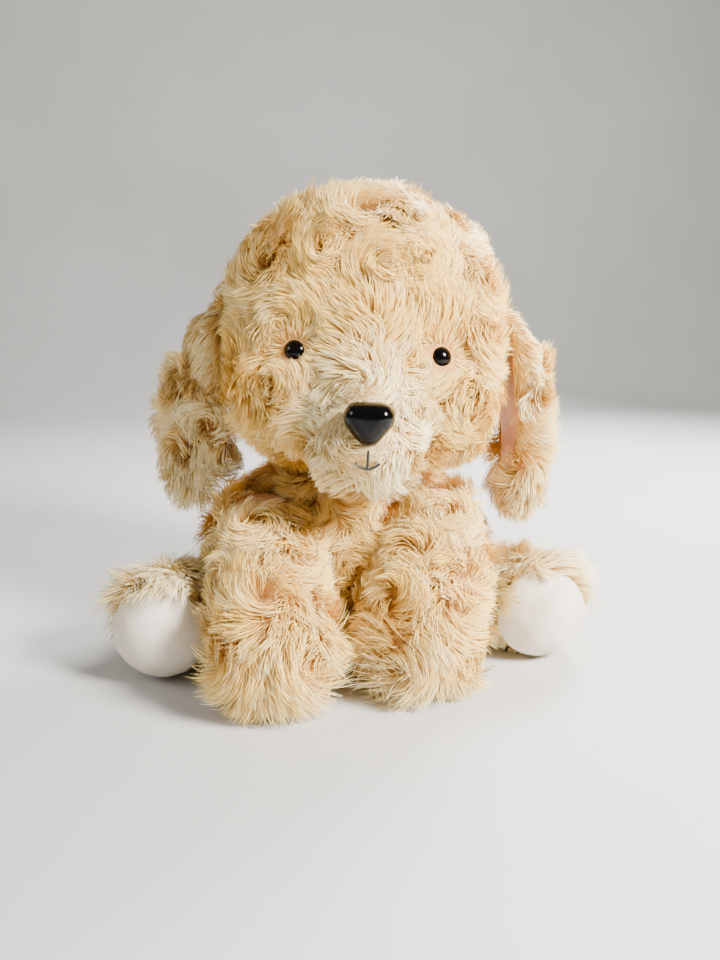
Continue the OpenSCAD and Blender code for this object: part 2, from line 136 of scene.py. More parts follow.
class Shader:
    """A material whose nodes are added by short calls."""

    def __init__(self, name):
        self.material = bpy.data.materials.new(name)
        self.material.use_nodes = True
        self.tree = self.material.node_tree
        self.bsdf = self.tree.nodes["Principled BSDF"]

    def node(self, kind, inputs=(), **props):
        made = self.tree.nodes.new(kind)
        for key, value in props.items():
            setattr(made, key, value)
        for key, value in dict(inputs).items():
            self.put(made.inputs[key], value)
        return made

    def put(self, socket, value):
        if isinstance(value, bpy.types.NodeSocket):
            self.tree.links.new(value, socket)
        else:
            socket.default_value = value

    def set(self, **values):
        for key, value in values.items():
            self.put(self.bsdf.inputs[key.replace("_", " ")], value)

    def ramp(self, factor, stops):
        made = self.node("ShaderNodeValToRGB", {"Fac": factor})
        elements = made.color_ramp.elements
        elements[0].position, elements[0].color = stops[0]
        elements[1].position, elements[1].color = stops[-1]
        for position, color in stops[1:-1]:
            elements.new(position).color = color
        return made.outputs["Color"]

    def mix(self, factor, a, b):
        made = self.node("ShaderNodeMix", data_type="RGBA")
        self.put(made.inputs["Factor"], factor)
        self.put(made.inputs["A"], a)
        self.put(made.inputs["B"], b)
        return made.outputs["Result"]

    def noise(self, scale, detail=3.0, roughness=0.55):
        """Noise over the object's own place, scale in features a metre."""
        place = self.node("ShaderNodeTexCoord").outputs["Object"]
        inputs = {"Vector": place, "Scale": scale, "Detail": detail, "Roughness": roughness}
        return self.node("ShaderNodeTexNoise", inputs).outputs["Fac"]

    def bump(self, height, distance_m, strength=1.0):
        made = self.node("ShaderNodeBump", {"Height": height, "Distance": distance_m, "Strength": strength})
        self.set(Normal=made.outputs["Normal"])


def fur_material():
    """The pile: colour from root to tip, and from golden to cream. The darker roots are partly painted shade
    deep in the pile, partly the plush's own tipped colour.
    """
    s = Shader("fur_pile")
    place = s.node("ShaderNodeUVMap", uv_map=STRAND_UV).outputs["UV"]
    split = s.node("ShaderNodeSeparateXYZ", {"Vector": place})
    height = s.node("ShaderNodeMapRange", {
        "Value": split.outputs["Y"], "From Min": UV_ROOT, "From Max": UV_ROOT + UV_SPAN}).outputs["Result"]
    # Both ramps darken towards the root: painted shade between the strands, partly the fibres' own colour
    golden = s.ramp(height, [
        (0.0, srgb(206, 144, 56)), (0.3, srgb(234, 178, 72)),
        (0.65, srgb(250, 204, 94)), (1.0, srgb(255, 220, 118))])
    cream = s.ramp(height, [
        (0.0, srgb(228, 186, 106)), (0.35, srgb(248, 220, 148)),
        (0.7, srgb(255, 240, 186)), (1.0, srgb(255, 251, 222))])
    s.set(Base_Color=s.mix(split.outputs["X"], golden, cream), Roughness=0.38, Specular_IOR_Level=0.26)
    return s.material


def backing_material(name, low, high):
    """The knitted cloth that the pile is fixed in, seen only between the locks."""
    s = Shader(name)
    s.set(Base_Color=s.ramp(s.noise(700), [(0.3, low), (0.7, high)]), Roughness=0.95)
    s.bump(s.noise(2500, 2.0), 0.0004)
    return s.material


def velour_material():
    """Short-pile velour, off-white with soft worn patches."""
    s = Shader("sole_velour")
    patch = s.ramp(s.noise(70, 4.0), [
        (0.3, srgb(228, 214, 192)), (0.5, srgb(243, 233, 216)), (0.72, srgb(250, 244, 233))])
    s.set(Base_Color=patch, Roughness=0.9)
    s.set(Sheen_Weight=0.6, Sheen_Roughness=0.35, Sheen_Tint=srgb(255, 250, 240))
    pile = s.node("ShaderNodeMath", {0: s.noise(2600, 2.0), 1: s.noise(320, 3.0)}, operation="ADD").outputs[0]
    s.bump(pile, 0.0005, 0.8)
    return s.material


def satin_material():
    """Peach satin with a fine weave, for the ears' inner sides."""
    s = Shader("ear_satin")
    place = s.node("ShaderNodeTexCoord").outputs["Object"]
    threads = {"Vector": place, "Scale": 900.0, "Distortion": 1.5, "Detail": 1.0}
    weave = s.node("ShaderNodeTexWave", threads, bands_direction="Z").outputs["Fac"]
    s.set(Base_Color=s.ramp(s.noise(60, 3.0), [(0.3, srgb(226, 150, 98)), (0.7, srgb(240, 176, 128))]))
    s.set(Roughness=0.46, Specular_IOR_Level=0.5)
    s.set(Sheen_Weight=0.5, Sheen_Roughness=0.3, Sheen_Tint=srgb(255, 214, 184))
    s.bump(weave, 0.00012, 0.6)
    return s.material


def fibre_material():
    s = Shader("fibre_filling")
    s.set(Base_Color=s.ramp(s.noise(240, 6.0, 0.7), [(0.3, srgb(225, 222, 212)), (0.7, srgb(252, 251, 246))]))
    s.set(Roughness=0.95, Sheen_Weight=0.4)
    s.bump(s.noise(900, 6.0, 0.7), 0.001)
    return s.material


def gloss_material():
    s = Shader("black_gloss")
    s.set(Base_Color=s.ramp(s.noise(300), [(0.3, srgb(2, 2, 2)), (0.7, srgb(6, 5, 5))]))
    rough = s.node("ShaderNodeMapRange", {"Value": s.noise(160), "To Min": 0.08, "To Max": 0.16})
    s.set(Roughness=rough.outputs["Result"], Specular_IOR_Level=0.22)
    return s.material


def clear_material():
    s = Shader("clear_plastic")
    s.set(Base_Color=s.ramp(s.noise(200), [(0.3, srgb(205, 206, 202)), (0.7, srgb(226, 227, 223))]))
    s.set(Roughness=0.25, IOR=1.5)
    return s.material


def thread_material(name, low, high):
    s = Shader(name)
    s.set(Base_Color=s.ramp(s.noise(1500, 2.0), [(0.3, low), (0.7, high)]), Roughness=0.55, Sheen_Weight=0.3)
    s.bump(s.noise(4000, 2.0), 0.0001)
    return s.material


def cloth_material(name, low, high, scale):
    """Plain weave for the pouch and the label."""
    s = Shader(name)
    place = s.node("ShaderNodeTexCoord").outputs["Object"]
    threads = [
        s.node("ShaderNodeTexWave", {"Vector": place, "Scale": scale}, bands_direction=way).outputs["Fac"]
        for way in ("X", "Z")
    ]
    weave = s.node("ShaderNodeMath", {0: threads[0], 1: threads[1]}, operation="MULTIPLY").outputs[0]
    s.set(Base_Color=s.ramp(s.noise(150), [(0.3, low), (0.7, high)]), Roughness=0.85, Sheen_Weight=0.2)
    s.bump(weave, 0.0002, 0.7)
    return s.material


STRAND_UV = "OFBake"
UV_ROOT, UV_SPAN = 0.02, 0.25      # the strands' part of the UV square, root to tip
UV_WIDTH = 0.002

MATERIALS = {
    "fur": fur_material(),
    # The golden backing is darker than the pile so the gaps between locks show painted shade; it is partly
    # the knitted cloth's own colour
    "backing": backing_material("fur_backing_painted_shade", srgb(206, 146, 80), srgb(226, 172, 108)),
    "pale_backing": backing_material("pale_backing", srgb(232, 200, 150), srgb(244, 218, 176)),
    "velour": velour_material(),
    "satin": satin_material(),
    "fibre": fibre_material(),
    "gloss": gloss_material(),
    "clear": clear_material(),
    "black_thread": thread_material("mouth_thread", srgb(10, 9, 9), srgb(32, 28, 26)),
    "seam_thread": thread_material("closing_thread", srgb(196, 150, 100), srgb(228, 188, 140)),
    "pouch": cloth_material("pouch_cloth", srgb(214, 208, 196), srgb(236, 232, 222), 450.0),
    "tape": cloth_material("label_tape", srgb(236, 235, 230), srgb(250, 250, 247), 700.0),
}


# ---- Meshes ----

def add_object(name, mesh, material, body):
    made = bpy.data.objects.new(name, mesh)
    SCENE.collection.objects.link(made)
    mesh.materials.clear()
    mesh.materials.append(MATERIALS[material])
    if body:
        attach(made, body)
    return made


def node_mesh(names):
    """Vertices and triangles of several CAD nodes together."""
    points, faces, start = [], [], 0
    for n in names:
        mesh = NODES[n].data
        mesh.calc_loop_triangles()
        co = np.empty(len(mesh.vertices) * 3)
        mesh.vertices.foreach_get("co", co)
        tri = np.empty(len(mesh.loop_triangles) * 3, np.int64)
        mesh.loop_triangles.foreach_get("vertices", tri)
        points.append(co.reshape(-1, 3))
        faces.append(tri.reshape(-1, 3) + start)
        start += len(points[-1])
    return np.concatenate(points), np.concatenate(faces)


def mesh_from(name, points, faces):
    mesh = bpy.data.meshes.new(name)
    mesh.from_pydata(points.tolist(), [], [list(map(int, f)) for f in faces])
    mesh.update()
    return mesh


def arrays(mesh):
    """Vertices and triangles of a mesh."""
    mesh.calc_loop_triangles()
    co = np.empty(len(mesh.vertices) * 3)
    mesh.vertices.foreach_get("co", co)
    tri = np.empty(len(mesh.loop_triangles) * 3, np.int64)
    mesh.loop_triangles.foreach_get("vertices", tri)
    return co.reshape(-1, 3), tri.reshape(-1, 3)


def set_points(mesh, co):
    mesh.vertices.foreach_set("co", co.ravel())
    mesh.update()


def vertex_normals(mesh):
    out = np.empty(len(mesh.vertices) * 3)
    mesh.vertices.foreach_get("normal", out)
    return out.reshape(-1, 3)


def apply_modifiers(obj):
    """The object's mesh with its modifiers applied, in their place."""
    evaluated = obj.evaluated_get(bpy.context.evaluated_depsgraph_get())
    mesh = bpy.data.meshes.new_from_object(evaluated)
    obj.modifiers.clear()
    obj.data = mesh
    return obj


def largest_part(mesh):
    """Deletes all but the largest of a mesh's separate parts."""
    count = len(mesh.vertices)
    edges = np.empty(len(mesh.edges) * 2, np.int64)
    mesh.edges.foreach_get("vertices", edges)
    edges = edges.reshape(-1, 2)
    label = np.arange(count)
    while True:
        low = np.minimum(label[edges[:, 0]], label[edges[:, 1]])
        new = label.copy()
        np.minimum.at(new, edges[:, 0], low)
        np.minimum.at(new, edges[:, 1], low)
        new = new[new]
        if (new == label).all():
            break
        label = new
    keep = label == np.bincount(label).argmax()
    if keep.all():
        return mesh
    index = np.cumsum(keep) - 1
    co, _ = arrays(mesh)
    faces = [[int(index[v]) for v in p.vertices] for p in mesh.polygons if keep[p.vertices[0]]]
    return mesh_from(mesh.name, co[keep], faces)


RELAX = 0.5                        # how far a point moves towards its neighbours' mean in a round


def relax(mesh, rounds):
    """Laplacian smoothing."""
    co, _ = arrays(mesh)
    edges = np.empty(len(mesh.edges) * 2, np.int64)
    mesh.edges.foreach_get("vertices", edges)
    a, b = edges.reshape(-1, 2).T
    count = np.bincount(np.concatenate([a, b]), minlength=len(co))[:, None]
    for _ in range(rounds):
        total = np.zeros_like(co)
        np.add.at(total, a, co[b])
        np.add.at(total, b, co[a])
        co = co + RELAX * (total / np.maximum(count, 1) - co)
    set_points(mesh, co)


def remeshed(name, nodes, voxel, rounds, out, cavities=False):
    """One smooth closed skin round CAD nodes: remeshed, relaxed and moved outwards by `out`.
    Only its largest closed surface is kept, unless cavities is set."""
    points, faces = node_mesh(nodes)
    work = bpy.data.objects.new(name, mesh_from(name, points, faces))
    SCENE.collection.objects.link(work)
    modifier = work.modifiers.new("remesh", "REMESH")
    modifier.mode = "VOXEL"
    modifier.voxel_size = voxel
    apply_modifiers(work)
    mesh = work.data if cavities else largest_part(work.data)
    relax(mesh, rounds)
    co, _ = arrays(mesh)
    co += vertex_normals(mesh) * out
    set_points(mesh, co)
    above_floor(mesh)
    mesh.shade_smooth()
    bpy.data.objects.remove(work)
    return mesh


INFLATE_FRAMES = 20
INFLATE_PRESSURE = 4.0
CLOTH_MASS = 0.2


def inflate(obj, cap):
    """Blows a closed cloth form up with Blender's Cloth, and limits how far a point may move."""
    before, _ = arrays(obj.data)
    cloth = obj.modifiers.new("cloth", "CLOTH")
    cloth.settings.use_pressure = True
    cloth.settings.uniform_pressure_force = INFLATE_PRESSURE
    cloth.settings.effector_weights.gravity = 0
    cloth.settings.mass = CLOTH_MASS
    for f in range(1, INFLATE_FRAMES + 1):
        SCENE.frame_set(f)
    apply_modifiers(obj)
    after, _ = arrays(obj.data)
    move = after - before
    far = np.linalg.norm(move, axis=1, keepdims=True)
    set_points(obj.data, before + move * np.minimum(1, cap / np.maximum(far, TINY)))
    SCENE.frame_set(1)


FLOOR_GAP = 0.2 * MM


def above_floor(mesh):
    co, _ = arrays(mesh)
    co[:, 2] = np.maximum(co[:, 2], FLOOR_GAP)
    set_points(mesh, co)


# ---- Skins: one for each stuffed body ----

# How far inside the frame's soft surface the pile is fixed, and outside it at the ears
SKIN_IN = {b: 3.5 * MM for b in frame["bodies"]}
SKIN_IN |= {"ear_right": -1.5 * MM, "ear_left": -1.5 * MM, "neck": 0.0}
SKIN_VOXEL, SKIN_ROUNDS = 2.5 * MM, 10
PANELS = {
    "head": ["head_side_right", "head_side_left", "head_gusset", "muzzle"],
    "body": ["chest_panel", "seat_panel", "back_panel_right", "back_panel_left"],
    "ear_right": ["ear_right_fur"],
    "ear_left": ["ear_left_fur"],
    "front_leg_right": ["front_leg_right_outer", "front_leg_right_inner"],
    "front_leg_left": ["front_leg_left_outer", "front_leg_left_inner"],
    "hind_leg_right": ["hind_leg_right_top", "hind_leg_right_bottom"],
    "hind_leg_left": ["hind_leg_left_top", "hind_leg_left_bottom"],
    "tail": ["tail_panel_right", "tail_panel_left"],
    "neck": ["neck_filling"],
}
EXTRA = {
    "head": ["head_filling"],
    "body": ["body_filling", "bean_pouch"],
    "ear_right": ["ear_right_lining"],
    "ear_left": ["ear_left_lining"],
    "front_leg_right": ["front_leg_right_filling"],
    "front_leg_left": ["front_leg_left_filling"],
    "hind_leg_right": ["hind_leg_right_filling", "sole_right"],
    "hind_leg_left": ["hind_leg_left_filling", "sole_left"],
    "tail": ["tail_filling"],
    "neck": [],
}
SKINS = {
    body: remeshed(f"{body}_skin", PANELS[body] + EXTRA[body], SKIN_VOXEL, SKIN_ROUNDS, -SKIN_IN[body])
    for body in PANELS
}
# An ear narrows towards its hinge and goes under the head's pile
EAR_TOP_BAND = (0.0, 0.32)         # as a share of the ear's length, from its top
EAR_TOP_THIN = 5.0 * MM            # off each side
EAR_TOP_SINK = 12.0 * MM
EAR_TOP_TUCK = 5.0 * MM            # towards the head


def ear_top(points, side):
    """1 at the very top of an ear, falling to 0 where it has its full size."""
    lo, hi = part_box(f"ear_{side}_fur")
    return near((hi[2] - points[:, 2]) / (hi[2] - lo[2]), EAR_TOP_BAND)


TREES = {}
for body, mesh in SKINS.items():
    points, faces = arrays(mesh)
    if body.startswith("ear"):
        top = ear_top(points, body[4:])[:, None]
        tuck = np.array([-np.sign(points[:, 0].mean()) * EAR_TOP_TUCK, 0, -EAR_TOP_SINK])
        points = points + top * tuck - vertex_normals(mesh) * top * EAR_TOP_THIN
        set_points(mesh, points)
    TREES[body] = (BVHTree.FromPolygons(points.tolist(), faces.tolist()), points.min(0), points.max(0))


def face_owner(body):
    """A search tree over a body's CAD panels, sole or lining, and the node of each of its faces."""
    names = PANELS[body] + [n for n in EXTRA[body] if n.startswith("sole") or n.endswith("lining")]
    points, faces, owner = [], [], []
    for n in names:
        co, tri = node_mesh([n])
        faces += (tri + len(points)).tolist()
        points += co.tolist()
        owner += [n] * len(tri)
    return BVHTree.FromPolygons(points, faces), owner


OWNERS = {body: face_owner(body) for body in PANELS}


def cut_skin(body):
    """A body's skin as one thin piece for each CAD panel, sole or lining."""
    mesh = SKINS[body]
    tree, owner = OWNERS[body]
    co, _ = arrays(mesh)
    parts = {}
    for p in mesh.polygons:
        found = tree.find_nearest(p.center + p.normal * SKIN_IN[body])
        parts.setdefault(owner[found[2]], []).append(list(p.vertices))
    normals = vertex_normals(mesh)
    out = {}
    for n, faces in parts.items():
        used = np.unique(np.concatenate(faces))
        index = {int(v): i for i, v in enumerate(used)}
        out[n] = (co[used], normals[used], [[index[v] for v in f] for f in faces])
    return out


def slab(points, normals, faces, thickness):
    """A closed thin slab: the faces, their copy under them, and a rim."""
    count = len(points)
    under = points - normals * thickness
    edges = {}
    for f in faces:
        for a, b in zip(f, f[1:] + f[:1]):
            edges[(a, b)] = edges.get((a, b), 0) + 1
    rim = [[b, a, a + count, b + count] for a, b in edges if (b, a) not in edges]
    all_faces = faces + [[v + count for v in reversed(f)] for f in faces] + rim
    return np.concatenate([points, under]), all_faces


BACKING_T = 1.2 * MM
for body in PANELS:
    for n, (points, normals, faces) in cut_skin(body).items():
        if n not in PANELS[body]:
            continue
        mesh = mesh_from(f"{n}_cloth", *slab(points, normals, faces, BACKING_T))
        made = add_object(f"{n}_cloth", mesh, "pale_backing" if n == "muzzle" else "backing", body)
        above_floor(made.data)
        made.data.shade_smooth()
        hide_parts(n)


# ---- The pile ----

STEPS = 4                          # straight pieces in a strand
STRAND_W = 0.38 * MM
MOST_STRANDS = 27000              # in one piece


def scatter(mesh, per_mm2):
    """Random points on a mesh, with the surface's normals there."""
    points, faces = arrays(mesh)
    normals = vertex_normals(mesh)
    a, b, c = (points[faces[:, k]] for k in range(3))
    area = np.linalg.norm(np.cross(b - a, c - a), axis=1) / 2
    total = int(area.sum() / MM**2 * per_mm2 * DENSITY)
    pick = RNG.choice(len(faces), total, p=area / area.sum())
    u, v = RNG.random((2, total, 1))
    flip = u + v > 1
    u, v = np.where(flip, 1 - u, u), np.where(flip, 1 - v, v)
    w = 1 - u - v
    f = faces[pick]
    root = points[f[:, 0]] * w + points[f[:, 1]] * u + points[f[:, 2]] * v
    return root, unit(normals[f[:, 0]] * w + normals[f[:, 1]] * u + normals[f[:, 2]] * v)


def whorl_centres(mesh, spacing):
    """Points on the mesh that are at least about `spacing` apart."""
    points, _ = arrays(mesh)
    chosen = []
    for i in RNG.permutation(len(points)):
        gap = spacing * RNG.uniform(0.85, 1.15)
        if not chosen or np.min(np.linalg.norm(np.array(chosen) - points[i], axis=1)) > gap:
            chosen.append(points[i])
    return np.array(chosen)


def nearest(points, targets):
    """Index of each point's nearest target, and the distances to the two nearest."""
    tree = KDTree(len(targets))
    for i, t in enumerate(targets):
        tree.insert(t, i)
    tree.balance()
    index, first, second = np.empty(len(points), np.int64), np.empty(len(points)), np.empty(len(points))
    for i, p in enumerate(points):
        found = tree.find_n(p, 2)
        index[i], first[i], second[i] = found[0][1], found[0][2], found[-1][2]
    return index, first, second


# A root is hidden if the point REACH above it is DEEP inside another body's skin
REACH, DEEP = 4 * MM, 3.5 * MM


def under_others(root, normal, body):
    """Whether each root is hidden by another body. An ear and the head don't hide each other's."""
    p = root + normal * REACH
    hidden = np.zeros(len(root), bool)
    for other, (tree, lo, hi) in TREES.items():
        if other == body or {other[:3], body[:3]} == {"ear", "hea"}:
            continue
        near = np.nonzero(((p > lo) & (p < hi)).all(1) & ~hidden)[0]
        for i in near:
            place, face_normal, _, _ = tree.find_nearest(Vector(p[i]))
            inward = (place - Vector(p[i])).dot(face_normal)
            if inward > 0 and (place - Vector(p[i])).length > DEEP:
                hidden[i] = True
    return hidden


LIFT_FALL = 0.6                    # how fast a strand goes from its root's lift to its tip's


def strands(root, normal, length, lift, centre, spin, spiral, comb, comb_share, droop):
    """The strands' points, (steps + 1, n, 3): each turns round its whorl's centre as it leans over."""
    rows, at = [root], root.copy()
    for k in range(STEPS):
        s = (k + 0.5) / STEPS
        out = along_surface(at - centre, normal)
        away = unit(out)
        turn = np.cross(normal, away) * spin
        lie = unit(turn * np.cos(spiral) + away * np.sin(spiral))
        lie = tangent(lie * (1 - comb_share) + comb * comb_share, normal)
        up = lift[0] + (lift[1] - lift[0]) * s**LIFT_FALL
        move = lie * np.cos(up) + normal * np.sin(up) - UP * droop * s
        at = at + unit(move) * length / STEPS
        rows.append(at)
    return np.array(rows)


LOCK_DRAW = 0.35                   # how far the strands of a lock close up at their tips
LOCK_PULL = 0.85                   # how strongly a strand follows its lock
LOCKS_PER_MM2 = 0.1
LOOSE_SHARE = 0.05                 # strands in no lock


def locks(rows, area_mm2):
    """Draws the strands together into locks towards their tips."""
    count = rows.shape[1]
    guides = RNG.choice(count, max(8, int(area_mm2 * LOCKS_PER_MM2)), replace=False)
    index, _, _ = nearest(rows[0], rows[0][guides])
    guide = guides[index]
    pull = LOCK_PULL * RNG.uniform(0.55, 1.0, (count, 1))
    pull[RNG.random(count) < LOOSE_SHARE] = 0
    offset = rows[0] - rows[0][guide]
    for k in range(1, STEPS + 1):
        s = (k / STEPS) ** 1.1
        goal = rows[k][guide] + offset * (1 - LOCK_DRAW * s)
        rows[k] = rows[k] * (1 - pull * s) + goal * pull * s
    return guide


STRAND_ROLL = 0.5                  # spread of a strand's turn about its own line, in radians
STRAND_FLOOR = 0.3 * MM
ROUND_SIDE = 0.45                  # how far the edges' normals turn, so that a flat strand looks round
ROUND_OUT = 0.6                    # how far they turn to the skin's normal


def strand_mesh(name, rows, normal, width, tone):
    """Flat tapering strands, shaded as round ones, with root-to-tip and tone in the UV map."""
    count = rows.shape[1]
    rows = rows.copy()
    rows[:, :, 2] = np.maximum(rows[:, :, 2], STRAND_FLOOR)
    flow = unit(np.gradient(rows, axis=0))
    face = unit(along_surface(np.broadcast_to(normal, rows.shape), flow))
    side = unit(np.cross(flow, face))
    roll = RNG.normal(0, STRAND_ROLL, (1, count, 1))
    side, face = side * np.cos(roll) + face * np.sin(roll), face * np.cos(roll) - side * np.sin(roll)
    share = np.arange(STEPS + 1) / STEPS
    taper = (0.9 + 0.3 * share - 0.4 * share**2)[:, None, None] * (width[None, :, None] / 2)
    left, right = rows - side * taper, rows + side * taper
    per = 2 * STEPS + 1
    points, normals = np.empty((count, per, 3)), np.empty((count, per, 3))
    points[:, 0:-1:2], points[:, 1:-1:2] = left[:-1].transpose(1, 0, 2), right[:-1].transpose(1, 0, 2)
    points[:, -1] = rows[-1]
    outward = unit(face + ROUND_OUT * normal)
    normals[:, 0:-1:2] = unit(outward - ROUND_SIDE * side)[:-1].transpose(1, 0, 2)
    normals[:, 1:-1:2] = unit(outward + ROUND_SIDE * side)[:-1].transpose(1, 0, 2)
    normals[:, -1] = outward[-1]
    loops = []
    for k in range(STEPS - 1):
        loops += [2 * k, 2 * k + 1, 2 * k + 3, 2 * k + 2]
    loops += [2 * STEPS - 2, 2 * STEPS - 1, 2 * STEPS]
    loop = (np.arange(count)[:, None] * per + np.array(loops)[None, :]).ravel()
    sizes = np.tile([4] * (STEPS - 1) + [3], count)
    mesh = bpy.data.meshes.new(name)
    mesh.vertices.add(count * per)
    mesh.vertices.foreach_set("co", points.astype(np.float32).ravel())
    mesh.loops.add(len(loop))
    mesh.loops.foreach_set("vertex_index", loop.astype(np.int32))
    mesh.polygons.add(len(sizes))
    mesh.polygons.foreach_set("loop_start", (np.cumsum(sizes) - sizes).astype(np.int32))
    mesh.update(calc_edges=True)
    u = np.empty((count, per))
    v = np.empty((count, per))
    u[:, 0:-1:2] = tone[:, None]
    u[:, 1:-1:2] = tone[:, None] + UV_WIDTH
    u[:, -1] = tone + UV_WIDTH / 2
    v[:, 0:-1:2] = v[:, 1:-1:2] = UV_ROOT + UV_SPAN * share[None, :-1]
    v[:, -1] = UV_ROOT + UV_SPAN
    layer = mesh.uv_layers.new(name=STRAND_UV)
    uv = np.stack([u.ravel()[loop], v.ravel()[loop]], 1)
    layer.data.foreach_set("uv", uv.astype(np.float32).ravel())
    mesh.shade_smooth()
    mesh.normals_split_custom_set_from_vertices(normals.reshape(-1, 3).astype(np.float32))
    return mesh


# How the strands vary. Each pair is a random range or a mean and its spread.
WHORL_EDGE_BLUR = 1.2 * MM
LEFT_TURNING = 0.72                # share of the whorls that turn to the left
SPIRAL_OF_WHORL = (0.12, 0.3)      # radians outwards from the circle
SPIRAL_SPREAD = 0.3
LENGTH_RANGE = (0.75, 1.12)
LIFT_RANGE = (0.75, 1.15)
TIP_LIFT_RANGE = (8, 10)           # degrees: least, and the most that is added
CENTRE_SIZE = 3.5 * MM             # round a whorl's centre the strands stand up by these radians
CENTRE_LIFT_ROOT, CENTRE_LIFT_TIP = 0.35, 0.7
RING_HEIGHT = 1.0 * MM
FRIZZ_SHAPE, FRIZZ_SIZE = 1.2, 0.3 * MM
WHORL_TONE, STRAND_TONE, LOCK_TONE, RING_TONE = 0.07, 0.10, 0.14, 0.10
WIDTH_RANGE = (0.7, 1.25)
ROOM_UNDER, FLOOR_CLEAR = 4 * MM, 0.5 * MM
FEWEST_STRANDS = 10                # in a piece


def grow(body, look, per_mm2, spacing):
    """Grows a body's pile. `look` gives each root's length, paleness, comb and so on."""
    mesh = SKINS[body]
    root, normal = scatter(mesh, per_mm2)
    tree, owner = OWNERS[body]
    outside = root + normal * SKIN_IN[body]
    names = np.array([owner[tree.find_nearest(Vector(p))[2]] for p in outside])
    style = look(root, normal, names)
    off_floor = root[:, 2] + normal[:, 2] * ROOM_UNDER > FLOOR_CLEAR
    keep = style["keep"] & ~under_others(root, normal, body) & off_floor
    root, normal, names = root[keep], normal[keep], names[keep]
    style |= {k: v[keep] for k, v in style.items() if isinstance(v, np.ndarray) and len(v) == len(keep)}
    count = len(root)
    centres = whorl_centres(mesh, spacing)
    index, first, second = nearest(root + RNG.normal(0, WHORL_EDGE_BLUR, root.shape), centres)
    spin = np.where(RNG.random(len(centres)) < LEFT_TURNING, 1.0, -1.0)[index][:, None]
    spiral = RNG.normal(*SPIRAL_OF_WHORL, len(centres))[index] + RNG.normal(0, SPIRAL_SPREAD, count)
    share = np.clip(2 * first / (first + second), 0, 1)[:, None]
    # A whorl is a low ring: flat in its middle and at its edge
    ring = np.sin(np.pi * share)
    rise = (ring - 0.5) * RING_HEIGHT
    start = root + normal * rise * style.get("ring", 1.0)
    length = style["length"] * RNG.uniform(*LENGTH_RANGE, count) * (0.9 + 0.2 * ring[:, 0])
    stand = np.exp(-((first / CENTRE_SIZE) ** 2))[:, None]
    root_lift = np.radians(style["lift"])[:, None] * RNG.uniform(*LIFT_RANGE, (count, 1))
    root_lift = root_lift + CENTRE_LIFT_ROOT * stand
    least, more = TIP_LIFT_RANGE
    tip_lift = np.radians(least + more * RNG.random((count, 1)))
    tip_lift = tip_lift + CENTRE_LIFT_TIP * stand + style.get("tip_lift", 0.0)
    rows = strands(
        start, normal, length[:, None], (root_lift, tip_lift), centres[index], spin, spiral[:, None],
        style["comb"], style["comb_share"][:, None], style["droop"][:, None])
    guide = locks(rows, count / (per_mm2 * DENSITY))
    frizz = unit(RNG.normal(0, 1, (count, 3))) * RNG.gamma(FRIZZ_SHAPE, FRIZZ_SIZE, (count, 1))
    for k in range(1, STEPS + 1):
        rows[k] += frizz * (k / STEPS) ** 1.5
    tone = style["pale"] + RNG.normal(0, WHORL_TONE, len(centres))[index] + RNG.normal(0, STRAND_TONE, count)
    tone = tone + LOCK_TONE * RNG.normal(0, 1, count)[guide] + RING_TONE * (share[:, 0] - 0.5)
    tone = np.clip(tone, 0.01, 0.99 - UV_WIDTH)
    width = STRAND_W * RNG.uniform(*WIDTH_RANGE, count) / math.sqrt(DENSITY)
    for n in PANELS[body]:
        mine = names == n if len(PANELS[body]) > 1 else np.ones(count, bool)
        if mine.sum() < FEWEST_STRANDS:
            continue
        batches = np.array_split(np.nonzero(mine)[0], math.ceil(mine.sum() / MOST_STRANDS))
        for k, batch in enumerate(batches):
            name = f"{n}_pile" if len(batches) == 1 else f"{n}_pile_{k + 1}"
            mesh = strand_mesh(name, rows[:, batch], normal[batch], width[batch], tone[batch])
            made = add_object(name, mesh, "fur", body)
            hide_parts(n)


# ---- How the pile lies on each body ----
# A look gives, for each root: whether a strand grows there, its length, its lift off the skin in
# degrees, how pale it is (0 golden, 1 cream), which way and how much it is combed, and its droop.

HEAD_PILE = 17 * MM
FACE_BAND = (45 * MM, 80 * MM)     # bands of distance, in which a zone's effect fades out
MUZZLE_BAND = (20 * MM, 46 * MM)
NOSE_BAND = (12 * MM, 22 * MM)
EYE_BAND = (8 * MM, 18 * MM)
EAR_BAND = (20 * MM, 40 * MM)
BROW_BAND = (24 * MM, 52 * MM)
EYE_TRIM, MOUTH_TRIM = (8 * MM, 17 * MM), (3 * MM, 10 * MM)
NOSE_CLEAR, MOUTH_CLEAR, EYE_CLEAR = 8.0 * MM, 0.8 * MM, 6.0 * MM
BROW = FOREHEAD + np.array([0, 0, 22]) * MM
EAR_TOPS = []
for side in ("right", "left"):
    lo, hi = (np.array(v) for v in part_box(f"ear_{side}_fur"))
    EAR_TOPS.append(np.array([(lo[0] + hi[0]) / 2, (lo[1] + hi[1]) / 2, hi[2]]))


